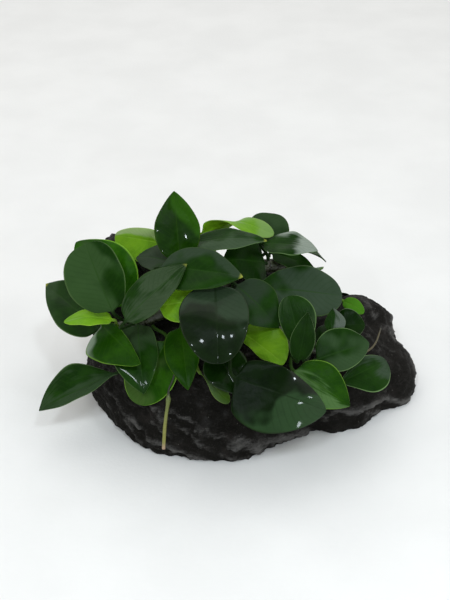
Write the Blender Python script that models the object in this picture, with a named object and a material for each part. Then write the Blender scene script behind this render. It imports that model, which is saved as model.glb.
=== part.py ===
"""A dwarf anubias grown on a dark stone.

The object is one loose stone, a creeping stem in two lengths that lies on top of it, a few
roots, and the leaves. Each leaf is one grown piece: its stalk and its blade together.

Lengths are millimetres until a mesh is made, which scales them to metres. +X is to the right
and +Z is up, for a viewer who stands in front of the stone and looks along +Y. The origin is
the middle of the stone's flat underside.
"""

import math
from dataclasses import dataclass

import bmesh
import bpy
import numpy as np
from mathutils import Vector, noise

MM = 0.001  # metres in a millimetre
NAME = "anubias_on_stone"

# The viewpoint from which the leaves are set out, as a surveyor would: a leaf's end is given by
# its place in the view (right and down, in pixels) and by its real height above the table.
VIEW_DISTANCE = 560.0
VIEW_TILT = math.radians(35.0)
VIEW_AIM = Vector((-14.0, 26.0, 38.0))
VIEW_MIDDLE = (225.0, 300.0)  # pixels
VIEW_FOCUS = 1032.0  # pixels
FORWARD = Vector((0.0, math.cos(VIEW_TILT), -math.sin(VIEW_TILT)))
UPWARD = Vector((0.0, math.sin(VIEW_TILT), math.cos(VIEW_TILT)))
EYE = VIEW_AIM - FORWARD * VIEW_DISTANCE


def spot(right, down, height):
    """The point at a height above the table that the view shows at (right, down)."""
    sight = (
        FORWARD
        + Vector((1, 0, 0)) * ((right - VIEW_MIDDLE[0]) / VIEW_FOCUS)
        - UPWARD * ((down - VIEW_MIDDLE[1]) / VIEW_FOCUS)
    )
    return EYE + sight * ((height - EYE.z) / sight.z)


# Stem and roots
STEM_RADIUS = 3.6
STEM_RINGS = 14
STEM_LAYS = {
    "main": ((-76, -12, 43), (-54, -18, 57), (-28, -14, 65), (-4, -19, 61), (18, -28, 52), (42, -24, 42)),
    "branch": ((-22, -4, 66), (-4, 10, 67), (14, 20, 64), (34, 26, 50)),
}
ROOT_RINGS = 9
ROOTS = {  # name: radius and the points it passes
    "root_hanging": (
        0.9,
        (
            (-36, -21, 58.5), (-37, -33, 54), spot(174, 375, 44), spot(169, 389, 36.5),
            spot(168, 402, 30), spot(165, 425, 20), spot(163.5, 450, 8),
        ),
    ),
    "root_right": (
        0.7,
        ((46, -24, 38), (53, -21, 37), spot(369, 350, 37), spot(376, 342, 37), spot(381, 328, 37)),
    ),
    "root_back": (0.8, ((1, 18, 64.5), (1, 31, 57), (0, 42, 44), (-1, 48, 34), (-1, 52, 22))),
    "root_side": (0.7, ((13, 24.5, 60.5), (14, 33, 52), (16, 41, 40), (17, 45, 28), (17, 47, 16))),
}

# Stone
STONE_HEART = np.array((-14.0, 4.0, 24.0))  # every point of the surface is seen from here
STONE_LUMPS = {  # centre, radii
    "body": ((-31.0, 2.0, 14.0), (53.0, 50.0, 47.0)),
    "knob at the back left": ((-67.0, 28.0, 42.5), (20.0, 26.0, 33.0)),
    "flank at the left": ((-60.5, -1.0, 10.0), (25.5, 29.0, 24.0)),
    "foot at the front": ((-21.5, -31.5, 4.0), (46.0, 27.5, 20.0)),
    "back, under the branch": ((4.0, 14.0, 18.0), (36.0, 30.0, 43.0)),
    "front, where the stem comes down": ((12.0, -12.0, 12.0), (28.0, 27.0, 36.0)),
    "low lobe at the right": ((40.0, 2.0, 10.0), (34.0, 38.0, 31.0)),
    "toe of the lobe": ((44.0, -22.0, 3.0), (18.0, 17.0, 14.0)),
    "back of the lobe": ((57.0, 22.0, 14.0), (22.5, 21.0, 27.0)),
    "end of the lobe": ((67.0, 2.5, 4.0), (21.0, 23.0, 21.5)),
}
STONE_BLEND = 5.0  # how sharply the lumps meet
STONE_RINGS, STONE_SEGMENTS = 22, 52
STONE_HALF_SIZE = (84.0, 58.0, 44.0)
STONE_ROUGHNESS = 2.2
STONE_GRAIN = 26.0  # size of its roughness
STONE_HALVINGS = 40  # to find the skin along one direction

# Leaves
BLADE_THICKNESS = 0.6
STALK_RADIUS = 0.8
STALK_GAP = 0.7  # between a stalk's foot and the stem
STALK_SPRING = 0.8  # how far it runs on at the stem, as a share of its run at the blade
STALK_STATIONS = (0.0, 0.35, 0.7, 1.0)  # of the stalk's length
STALK_STEP = 0.02  # of its length, over which its direction is taken
BLADE_STATIONS = (0.1, 0.28, 0.48, 0.68, 0.85, 0.95)  # of the blade's length
ACROSS = (-1.0, -0.55, 0.0, 0.55, 1.0)  # of a half-width, left to right
RING_POINTS = 2 * (len(ACROSS) - 1)


@dataclass
class Leaf:
    """One leaf: where its blade starts and ends, which way it faces, and its form."""

    foot: Vector  # where the stalk becomes the blade
    tip: Vector
    face: tuple  # the way the upper side looks: degrees to the right of the viewer, degrees up
    width: float
    stem: str
    at: float  # how far along the stem the stalk starts
    tone: str = "dark"
    belly: float = 0.42  # the widest place, as a share of the length
    base: float = 0.6  # over 1 gives a wedge-shaped base, near 0.5 a round one
    point: float = 0.85  # near 1 gives a long point, near 0.5 a round end
    fold: float = 10.0  # degrees that each half rises from flat
    arch: float = 2.0  # rise of the middle of the blade
    twist: float = 0.0  # degrees from foot to tip
    halves: tuple = (1.0, 1.0)  # width of the left and the right half
    slack: float = 0.45  # how far the stalk runs on before it turns


LEAVES = {  # foot, tip, face, width, stem, at, and what isn't usual
    # the left end
    1: Leaf(spot(180, 262, 80), spot(174, 191, 115), (5, 20), 23, "main", 60, "mid", fold=8, arch=-3.5),
    2: Leaf(
        spot(168, 245, 74.5), spot(115, 236, 82), (-8, 50), 18, "main", 40, "lime",
        point=0.4, halves=(1.45, 0.7),
    ),
    3: Leaf(
        spot(113, 312, 70.5), spot(86, 244, 97.5), (-10, 35), 29, "main", 20,
        belly=0.52, base=0.42, point=0.3, fold=6, halves=(1.12, 0.9), slack=0.12,
    ),
    4: Leaf(
        spot(126, 306, 60), spot(76, 242, 88), (-10, 40), 34, "main", 26, "mid",
        belly=0.5, base=0.45, point=0.72, halves=(0.62, 1.1),
    ),
    5: Leaf(spot(101, 330, 50.5), spot(46, 284, 57.5), (-15, 45), 28, "main", 6, fold=4, halves=(0.9, 1.0)),
    6: Leaf(
        spot(113, 320, 64), spot(64, 322, 64), (0, 95), 16, "main", 14, "lime",
        point=0.6, fold=4, slack=0.15,
    ),
    7: Leaf(
        spot(102, 325, 56.4), spot(140, 364, 52.5), (-5, 48), 26, "main", 9, "mid",
        belly=0.27, base=1.6, point=0.62, fold=5, halves=(0.4, 1.2), slack=0.1,
    ),
    8: Leaf(
        spot(117, 373, 40), spot(39, 411, 22), (-20, 60), 24, "main", 3,
        belly=0.5, base=1.3, fold=6, halves=(0.42, 1.2),
    ),
    # the top
    9: Leaf(spot(160, 268, 86.5), spot(243, 277, 91), (5, 62), 25, "main", 48, fold=6),
    10: Leaf(spot(125, 322, 72), spot(187, 264, 92), (-25, 60), 22, "main", 29, fold=6, halves=(1.0, 0.85)),
    11: Leaf(spot(178, 264, 76), spot(136, 258, 76), (0, 75), 20, "main", 54),
    12: Leaf(
        spot(215, 284, 85), spot(218, 364, 63), (3, 55), 33, "main", 64,
        point=0.38, arch=5, fold=4, halves=(0.92, 1.06),
    ),
    13: Leaf(spot(158, 306, 72), spot(214, 300, 72), (0, 45), 20, "main", 44, "lime", slack=0.3),
    14: Leaf(spot(236, 285, 80.5), spot(279, 328, 63), (15, 50), 23, "main", 74),
    15: Leaf(
        spot(238, 330, 56), spot(284, 364, 51.5), (0, 50), 24, "main", 80, "lime",
        belly=0.55, point=0.5, fold=4, halves=(1.05, 0.4),
    ),
    # the right front
    16: Leaf(
        spot(234, 377, 55.5), spot(326, 411, 38), (-10, 47), 34, "main", 79,
        belly=0.36, base=0.45, point=0.65, fold=3, arch=3.5, halves=(0.72, 1.2), slack=0.15,
    ),
    17: Leaf(spot(294, 371, 47.5), spot(350, 406, 36), (10, 50), 24, "main", 107, "mid", slack=0.25),
    18: Leaf(
        spot(316, 360, 50), spot(369, 343, 52), (10, 50), 24, "main", 121,
        point=0.65, fold=5, halves=(1.0, 0.8),
    ),
    19: Leaf(
        spot(340, 383, 38), spot(386, 361, 38), (10, 55), 21, "main", 125,
        belly=0.55, base=0.8, point=0.5, fold=7, halves=(0.65, 1.2),
    ),
    20: Leaf(spot(334, 326, 47), spot(365, 325, 48), (10, 50), 17, "main", 126, point=0.6),
    21: Leaf(spot(334, 334, 56.3), spot(333, 308, 66.3), (20, 50), 11, "main", 127),
    22: Leaf(spot(343, 301, 50), spot(364, 313, 46), (0, 50), 8, "branch", 50, "lime", point=0.5),
    23: Leaf(
        spot(256, 290, 69), spot(342, 296, 63), (5, 65), 30, "branch", 22,
        belly=0.55, point=0.45, fold=4,
    ),
    24: Leaf(
        spot(304, 362, 50), spot(288, 296, 75.8), (0, 30), 21, "main", 115,
        belly=0.66, point=0.45, halves=(0.68, 1.05), slack=0.2,
    ),
    25: Leaf(spot(298, 361, 56), spot(308, 312, 76), (0, 30), 12, "main", 103, slack=0.15),
    # the right back
    26: Leaf(
        spot(201, 234, 78.5), spot(274, 234, 85), (0, 113), 20, "branch", 12, "lime",
        base=0.45, point=0.5, arch=6, fold=4, twist=-100,
    ),
    27: Leaf(
        spot(192, 243, 84), spot(267, 241, 90.5), (0, 84), 20, "branch", 4,
        fold=5, halves=(0.85, 1.0),
    ),
    28: Leaf(
        spot(266, 250, 69), spot(270, 213, 86), (0, 40), 22, "branch", 32,
        belly=0.55, point=0.3, fold=4,
    ),
    29: Leaf(spot(264, 244, 82), spot(318, 251, 84), (0, 85), 20, "branch", 36, fold=4),
    30: Leaf(spot(298, 251, 71), spot(326, 262, 65), (0, 110), 12, "branch", 48),
    31: Leaf(
        spot(272, 253, 71), spot(317, 272, 63), (10, 70), 14, "branch", 38,
        base=0.45, halves=(0.75, 1.0),
    ),
    32: Leaf(
        spot(265, 263, 70.6), spot(222, 261, 77), (0, 60), 29, "branch", 34,
        base=0.4, halves=(1.0, 1.05),
    ),
    # the front
    33: Leaf(
        spot(138, 324, 57.5), spot(144, 394, 37.5), (-5, 50), 22, "main", 17,
        belly=0.45, base=0.35, fold=6, halves=(0.82, 1.25),
    ),
    34: Leaf(
        spot(166, 341, 52.5), spot(137, 404, 27), (0, 50), 26, "main", 30, "mid",
        belly=0.5, point=0.5, fold=2,
    ),
    35: Leaf(
        spot(181, 327, 60), spot(188, 390, 43), (0, 45), 18, "main", 50, "mid",
        base=0.45, fold=7, halves=(0.85, 1.05),
    ),
    36: Leaf(
        spot(200, 373, 45), spot(229, 403, 34), (0, 50), 7, "main", 62, "lime",
        belly=0.66, base=1.2, point=0.5, slack=0.25,
    ),
    37: Leaf(spot(215, 350, 55), spot(240, 395, 41), (0, 50), 22, "main", 70),
    38: Leaf(spot(318, 345, 52), spot(328, 325, 54), (0, 50), 8, "main", 115, slack=0.6),
    # the side away from the viewer
    39: Leaf(Vector((-26, 26, 66)), Vector((-38, 58, 54)), (180, 60), 26, "branch", 6),
    40: Leaf(Vector((-9, 30, 59)), Vector((-18, 62, 41)), (180, 55), 26, "branch", 16, fold=4, arch=1),
    41: Leaf(Vector((9, 32, 57)), Vector((14, 64, 38)), (180, 50), 25, "branch", 34),
    42: Leaf(Vector((25, 34, 51)), Vector((34, 60, 33)), (170, 50), 24, "branch", 51, "mid"),
    43: Leaf(Vector((40, 31, 41)), Vector((54, 46, 22)), (150, 50), 20, "branch", 66, slack=0.3),
    44: Leaf(Vector((-39, 20, 67)), Vector((-46, 46, 67)), (180, 80), 18, "main", 50, "mid"),
    45: Leaf(Vector((-95, 6, 47)), Vector((-104, 32, 42)), (200, 80), 15, "main", 8),
}

TONES = {  # colour, roughness
    "dark": ((0.018, 0.055, 0.022), 0.3),
    "mid": ((0.045, 0.14, 0.02), 0.32),
    "lime": ((0.2, 0.38, 0.03), 0.4),
    "stem": ((0.09, 0.11, 0.03), 0.6),
    "root": ((0.3, 0.26, 0.08), 0.6),
    "stone": ((0.012, 0.012, 0.013), 0.75),
}


def clear_scene():
    for old in list(bpy.data.objects):
        bpy.data.objects.remove(old, do_unlink=True)


def finish_of(tone):
    """The material of a tone."""
    colour, roughness = TONES[tone]
    material = bpy.data.materials.get(tone) or bpy.data.materials.new(tone)
    material.use_nodes = True
    shader = material.node_tree.nodes["Principled BSDF"]
    shader.inputs["Base Color"].default_value = (*colour, 1.0)
    shader.inputs["Roughness"].default_value = roughness
    return material


def add_object(name, data, tone, home):
    data.materials.append(finish_of(tone))
    home.objects.link(bpy.data.objects.new(name, data))


def mesh_of(body, name):
    """The finished mesh of a bmesh, in metres and facing out."""
    bmesh.ops.scale(body, vec=(MM, MM, MM), verts=body.verts)
    bmesh.ops.recalc_face_normals(body, faces=body.faces)
    mesh = bpy.data.meshes.new(name)
    body.to_mesh(mesh)
    body.free()
    return mesh


# Stem and roots


def smooth_line(lay, steps=12):
    """Points close together on a smooth line through the points of lay."""
    known = [Vector(point) for point in lay]
    known = [known[0] * 2 - known[1], *known, known[-1] * 2 - known[-2]]
    line = []
    for a, b, c, d in zip(known, known[1:], known[2:], known[3:]):
        for t in (k / steps for k in range(steps)):
            bend = (a * 2 - b * 5 + c * 4 - d) * t**2 + (b * 3 - a - c * 3 + d) * t**3
            line.append((b * 2 + (c - a) * t + bend) / 2)
    return [*line, known[-2]]


def along(lay, distance):
    """The point at a distance along the smooth line through lay, and its direction there."""
    line = smooth_line(lay)
    for here, there in zip(line, line[1:]):
        run = (there - here).length
        if distance <= run:
            break
        distance -= run
    return here.lerp(there, min(1, distance / run)), (there - here).normalized()


def add_cord(name, lay, radius, rings, tone, home):
    """A round solid of one radius along the smooth line through the points of lay."""
    line = smooth_line(lay)
    whole = sum((b - a).length for a, b in zip(line, line[1:]))
    curve = bpy.data.curves.new(name, "CURVE")
    curve.dimensions = "3D"
    curve.bevel_depth = radius * MM
    curve.bevel_resolution = 2
    curve.use_fill_caps = True
    spline = curve.splines.new("POLY")
    spline.points.add(rings - 1)
    for k, point in enumerate(spline.points):
        place, _ = along(lay, whole * k / (rings - 1))
        point.co = (*(place * MM), 1)
    add_object(name, curve, tone, home)


def add_stems(home):
    for name, lay in STEM_LAYS.items():
        add_cord("rhizome_" + name, lay, STEM_RADIUS, STEM_RINGS, "stem", home)
    for name, (radius, lay) in ROOTS.items():
        add_cord(name, lay, radius, ROOT_RINGS, "root", home)


# Stone


def stone_depth(points):
    """How deep points lie in the stone: over 0 inside it, 0 on its skin."""
    total = np.zeros(len(points))
    for centre, radii in STONE_LUMPS.values():
        off = (points - np.array(centre)) / np.array(radii)
        total += np.exp(STONE_BLEND * (1 - (off**2).sum(axis=1)))
    return total - 1


def stone_reach(ways):
    """How far the stone's skin is from its heart along each of the unit vectors in ways."""
    near = np.zeros(len(ways))
    far = np.full(len(ways), 2 * max(STONE_HALF_SIZE))
    for _ in range(STONE_HALVINGS):
        middle = (near + far) / 2
        inside = stone_depth(STONE_HEART + ways * middle[:, None]) > 0
        near, far = np.where(inside, middle, near), np.where(inside, far, middle)
    return near


def add_stone(home):
    body = bmesh.new()
    bmesh.ops.create_uvsphere(body, u_segments=STONE_SEGMENTS, v_segments=STONE_RINGS, radius=1)
    ways = np.array([vert.co for vert in body.verts]) * STONE_HALF_SIZE
    ways /= np.linalg.norm(ways, axis=1)[:, None]
    for vert, way, reach in zip(body.verts, ways, stone_reach(ways)):
        place = Vector(STONE_HEART + way * reach)
        rough = noise.fractal(place / STONE_GRAIN, 1.0, 2.0, 4) * STONE_ROUGHNESS
        vert.co = place + Vector(way) * rough
    whole = [*body.verts, *body.edges, *body.faces]
    cut = bmesh.ops.bisect_plane(body, geom=whole, dist=MM, plane_no=(0, 0, -1), clear_outer=True)
    rim = [edge for edge in cut["geom_cut"] if isinstance(edge, bmesh.types.BMEdge)]
    bmesh.ops.contextual_create(body, geom=rim)
    add_object("stone", mesh_of(body, "stone"), "stone", home)


# Leaves


def outline(leaf, t):
    """The blade's half-width at t of its length, as a share of its greatest."""
    place = t ** (math.log(0.5) / math.log(leaf.belly))
    power = leaf.base if place < 0.5 else leaf.point
    return math.sin(math.pi * place) ** power


def axes_of(leaf):
    """The blade's direction from foot to tip, its right side and its upper side."""
    ahead = (leaf.tip - leaf.foot).normalized()
    turn, up = (math.radians(angle) for angle in leaf.face)
    looks = Vector((math.sin(turn) * math.cos(up), -math.cos(turn) * math.cos(up), math.sin(up)))
    top = (looks - ahead * looks.dot(ahead)).normalized()
    return ahead, ahead.cross(top), top


def blade_point(leaf, t, across, lift=0.0):
    """A point of the blade: t along it, across from -1 to 1, and lift above its middle skin."""
    _, side, top = axes_of(leaf)
    turned = math.radians(leaf.twist) * (t - 0.5)
    right = side * math.cos(turned) + top * math.sin(turned)
    upper = top * math.cos(turned) - side * math.sin(turned)
    middle = leaf.foot.lerp(leaf.tip, t) + upper * (leaf.arch * 4 * t * (1 - t))
    half = leaf.halves[0] if across < 0 else leaf.halves[1]
    reach = leaf.width / 2 * half * outline(leaf, t) * across
    rise = math.radians(leaf.fold) * np.sign(across)
    out = right * math.cos(rise) + upper * math.sin(rise)
    skin = upper * math.cos(rise) - right * math.sin(rise)
    return middle + out * reach + skin * lift


def stalk_curve(leaf):
    """The stalk's curve, from the stem to the blade: a function of 0 to 1."""
    ahead, _, _ = axes_of(leaf)
    start, run = along(STEM_LAYS[leaf.stem], leaf.at)
    away = leaf.foot - start
    away = (away - run * away.dot(run)).normalized()
    start += away * (STEM_RADIUS + STALK_GAP)
    hand = (leaf.foot - start).length * leaf.slack
    a, b, c, d = start, start + away * hand * STALK_SPRING, leaf.foot - ahead * hand, leaf.foot

    def at(t):
        return a * (1 - t) ** 3 + b * (3 * t * (1 - t) ** 2) + c * (3 * t**2 * (1 - t)) + d * t**3

    return at


def stalk_rings(leaf):
    """Round rings up the stalk, each from left to right over the top and back below.

    They are worked out from the blade down, so that no ring is turned against the next.
    """
    path = stalk_curve(leaf)
    _, right, _ = axes_of(leaf)
    angles = [math.pi * (1 - 2 * k / RING_POINTS) for k in range(RING_POINTS)]
    rings = []
    for t in reversed(STALK_STATIONS):
        run = (path(min(1, t + STALK_STEP)) - path(max(0, t - STALK_STEP))).normalized()
        right = (right - run * run.dot(right)).normalized()
        upper = right.cross(run)
        turned = [right * math.cos(angle) + upper * math.sin(angle) for angle in angles]
        rings.insert(0, [path(t) + way * STALK_RADIUS for way in turned])
    return rings


def blade_ring(leaf, t):
    """A flat ring of the blade, with sharp margins and the rib below."""
    skin = BLADE_THICKNESS / 2
    rib = skin + (STALK_RADIUS - skin) * (1 - t)
    over = [blade_point(leaf, t, u, skin if abs(u) < 1 else 0) for u in ACROSS]
    under = [blade_point(leaf, t, u, -skin if u else -rib) for u in reversed(ACROSS[1:-1])]
    return over + under


def leaf_mesh(leaf, name):
    """One closed skin: rings up the stalk, rings along the blade, then the tip."""
    rings = stalk_rings(leaf) + [blade_ring(leaf, t) for t in BLADE_STATIONS]
    body = bmesh.new()
    rows = [[body.verts.new(point) for point in ring] for ring in rings]
    tip = body.verts.new(blade_point(leaf, 1.0, 0.0))
    body.faces.new(rows[0])
    for k in range(RING_POINTS):
        for low, high in zip(rows, rows[1:]):
            body.faces.new((low[k], low[k - 1], high[k - 1], high[k]))
        body.faces.new((rows[-1][k], rows[-1][k - 1], tip))
    mesh = mesh_of(body, name)
    mesh.shade_smooth()
    return mesh


def add_leaves(home):
    for number, leaf in LEAVES.items():
        name = f"leaf_{number:02d}"
        add_object(name, leaf_mesh(leaf, name), leaf.tone, home)


def build():
    clear_scene()
    home = bpy.data.collections.new(NAME)
    bpy.context.scene.collection.children.link(home)
    add_stone(home)
    add_stems(home)
    add_leaves(home)


build()
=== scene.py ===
"""The looks of a dwarf anubias that has grown on a dark stone.

The file follows the object as it was put together: the stone, the creeping stem and the roots
that lie on it, the leaves, and then the floor, the light and the camera. Lengths are in
millimetres until a mesh is made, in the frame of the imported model: +X to the right, +Y away from
the viewer, +Z up, and the origin in the middle of the stone's underside.
"""

import math
from dataclasses import dataclass

import bpy
import numpy as np
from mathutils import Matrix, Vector, noise


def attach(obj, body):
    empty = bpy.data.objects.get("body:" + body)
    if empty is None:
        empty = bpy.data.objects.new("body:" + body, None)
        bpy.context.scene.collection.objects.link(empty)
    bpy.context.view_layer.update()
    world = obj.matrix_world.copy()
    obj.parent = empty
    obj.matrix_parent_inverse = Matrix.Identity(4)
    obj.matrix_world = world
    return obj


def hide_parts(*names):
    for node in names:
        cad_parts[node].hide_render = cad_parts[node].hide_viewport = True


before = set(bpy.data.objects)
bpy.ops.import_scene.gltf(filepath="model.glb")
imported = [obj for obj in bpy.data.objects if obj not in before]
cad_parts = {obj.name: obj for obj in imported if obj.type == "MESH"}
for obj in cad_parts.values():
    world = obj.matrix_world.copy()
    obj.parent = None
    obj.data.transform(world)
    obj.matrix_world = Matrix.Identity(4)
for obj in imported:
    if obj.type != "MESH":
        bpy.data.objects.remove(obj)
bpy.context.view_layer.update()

# ------------------------------------------------------------------------------------- The stone
# One loose, near-black volcanic stone that carries the whole plant. It cooled in flowing layers
# that now stand out as worn grey ridges, with hollows and pits between that are darkened with
# painted shade, and it lies on a flat underside.

MM = 0.001  # metres in a millimetre

# the viewpoint from which the stone's ridges, the roots and the leaves are set
VIEW_DISTANCE = 560.0
VIEW_TILT = math.radians(35.0)
VIEW_AIM = Vector((-14.0, 26.0, 38.0))
VIEW_MIDDLE, VIEW_FOCUS = (225.0, 300.0), 1032.0  # pixels
FORWARD = Vector((0.0, math.cos(VIEW_TILT), -math.sin(VIEW_TILT)))
UPWARD = Vector((0.0, math.sin(VIEW_TILT), math.cos(VIEW_TILT)))
EYE = VIEW_AIM - FORWARD * VIEW_DISTANCE

STONE_HEART = np.array((-14.0, 4.0, 24.0))
STONE_LUMPS = (  # centre, radii
    ((-31.0, 2.0, 14.0), (53.0, 50.0, 47.0)),  # body
    ((-67.0, 28.0, 42.5), (20.0, 26.0, 33.0)),  # knob at the back left
    ((-60.5, -1.0, 10.0), (25.5, 29.0, 24.0)),  # flank at the left
    ((-21.5, -31.5, 4.0), (46.0, 27.5, 20.0)),  # foot at the front
    ((4.0, 14.0, 18.0), (36.0, 30.0, 43.0)),  # back, under the stem's branch
    ((12.0, -12.0, 12.0), (28.0, 27.0, 36.0)),  # front, where the stem comes down
    ((40.0, 2.0, 10.0), (34.0, 38.0, 31.0)),  # low lobe at the right
    ((44.0, -22.0, 3.0), (18.0, 17.0, 14.0)),  # toe of the lobe
    ((57.0, 22.0, 14.0), (22.5, 21.0, 27.0)),  # back of the lobe
    ((67.0, 2.5, 4.0), (21.0, 23.0, 21.5)),  # end of the lobe
)
STONE_BLEND = 5.0  # the higher it is, the sharper the creases between the lumps
STONE_HALF_SIZE = np.array((84.0, 58.0, 44.0))
STONE_RINGS, STONE_SEGMENTS = 208, 440
UNDERSIDE_RINGS = 0.15  # share of the rings that the underside gets
UNDERSIDE_FROM = 0.66 * math.pi  # the angle from straight up at which it starts
REACH_HALVINGS = 30  # they find the skin along a way out from the heart
SIGHT_STEPS = np.arange(0.6, 1.2, 0.0005)  # shares of the view's distance
RIDGES = (  # points that the view shows in pixels, half width, height
    (((150, 405), (168, 410), (181, 415), (192, 423), (203, 431), (224, 435), (234, 440)), 2.0, 1.2),
    (((234, 441), (246, 444), (258, 446), (270, 444), (285, 438), (302, 430)), 3.6, 1.7),
    (((160, 413), (176, 420), (187, 431), (199, 441), (216, 450), (240, 456), (262, 452)), 1.6, 0.8),
    (((124, 414), (133, 421), (143, 431), (151, 439), (162, 444), (178, 452), (206, 458)), 1.5, 1.3),
    (((108, 388), (118, 400), (122, 412), (130, 429), (142, 444)), 1.3, 0.9),
    (((102, 395), (108, 408), (117, 423), (130, 439)), 1.1, 0.7),
    (((140, 404), (152, 416), (163, 430), (172, 437)), 1.0, 0.9),
    (((324, 418), (340, 412), (352, 413), (364, 410), (373, 402), (385, 397), (398, 401)), 2.0, 1.7),
    (((398, 401), (404, 398), (409, 392)), 1.8, 1.2),
    (((360, 296), (368, 303), (373, 314), (382, 328), (388, 341)), 1.8, 0.8),
    (((352, 302), (362, 312), (368, 324), (380, 344), (396, 352)), 1.4, 0.6),
    (((388, 328), (393, 341), (404, 348), (410, 358), (412, 374)), 1.8, 1.3),
    (((368, 414), (377, 410), (390, 408)), 1.5, 1.0),
    (((390, 316), (393, 325), (392, 333)), 2.6, 1.8),
    (((108, 245), (104, 238), (108, 234), (114, 236)), 2.2, 1.6),
)
HOLLOWS = (  # the point that the view shows in pixels, radius, depth
    ((146, 411), 3.0, 1.6),
    ((146, 431), 2.8, 1.5),
    ((184, 442), 3.2, 1.5),
    ((202, 422), 2.6, 1.3),
    ((219, 446), 2.4, 1.0),
    ((113, 405), 2.6, 1.3),
    ((131, 437), 2.4, 1.2),
    ((245, 450), 2.4, 0.9),
    ((215, 418), 9.0, 2.2),
    ((384, 306), 5.0, 2.0),
    ((243, 424), 9.0, 2.2),
    ((275, 424), 7.0, 1.8),
    ((182, 404), 6.0, 1.4),
    ((384, 309), 3.0, 1.2),
    ((383, 336), 3.5, 1.2),
    ((399, 336), 4.0, 2.2),
    ((384, 412), 4.0, 1.8),
    ((362, 405), 3.2, 1.4),
    ((394, 390), 4.5, 1.3),
    ((336, 420), 4.0, 1.5),
)
RIDGE_REACH = 2.6  # half widths of a ridge within which the flow layers fade
RIDGE_FRAYING, RIDGE_CRUMBS, HOLLOW_CRUMBS = 0.6, 0.35, 0.5  # how far crumbs break them up
SWELLS = (26.0, 1.0, 2.0, 4)  # noise: size, evenness, ratio from layer to layer, layers
LUMPS = (10.0, 0.8, 2.2, 3)
CRUMBS = (4.2, 0.7, 2.2, 4)
SWELL_HEIGHT, LUMP_HEIGHT, CRUMB_HEIGHT = 2.2, 1.3, 0.7
LAYER_PITCH, LAYER_DEPTH, LAYER_MIDDLE = 5.6, 1.2, 0.4
LAYER_WARP = (17.0, 0.9, 2.3, 4)  # noise that bends the flow layers
WARP_HEIGHT, LAYER_SLOPE, LAYER_FRAYING = 7.0, 0.06, 1.4
LAYER_EDGE, LAYER_HOLLOW = 0.72, 1.3  # share of its height at which it breaks off; its curve
LAYER_FADING = 0.75  # how far a ridge hides the layers
CALM_SIZE, CALM_SHIFT = 24.0, Vector((3, 1, 4))  # noise for how calmly the stone cooled
CALM_LAYERS, CALM_PITS = (0.55, 1.1), (0.5, -1.3)  # how far they show, and what calm adds to it
PIT_SPACING, PIT_RADIUS, PIT_DEPTH = 4.0, 0.36, 0.9  # the radius as a share of the spacing
PLAIN_PALENESS, PLAIN_LIMITS = 0.3, (-0.3, 0.45)  # of crumbs and layers away from the ridges
RIDGE_PALENESS, HOLLOW_SHADE = 0.7, 0.6  # what each millimetre of a ridge's height adds to the paleness, and what each millimetre of a hollow's depth takes off as painted shade
STONE_GRAIN, STONE_PATCHES, STONE_STREAKS, STONE_PORES = 0.9, 11.0, 1.8, 0.4  # sizes
CRYSTAL_DENSITY = 0.28  # along a millimetre
STONE_BUMP = 0.8
STONE_GLOSS = {"Specular IOR Level": 0.1, "Coat Roughness": 0.35}
STONE_BLACK, STONE_WORN = (0.0050, 0.0045, 0.0032), (0.125, 0.122, 0.115)
STONE_GREY, STONE_BROWN = (0.040, 0.037, 0.033), (0.020, 0.0145, 0.0115)
STONE_CRYSTAL, STONE_FOOT_DARK = (0.16, 0.15, 0.135), (0.004, 0.004, 0.0035)
DARKENED_HEIGHT = 2.5  # up to which the stone is darker towards the floor


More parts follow.
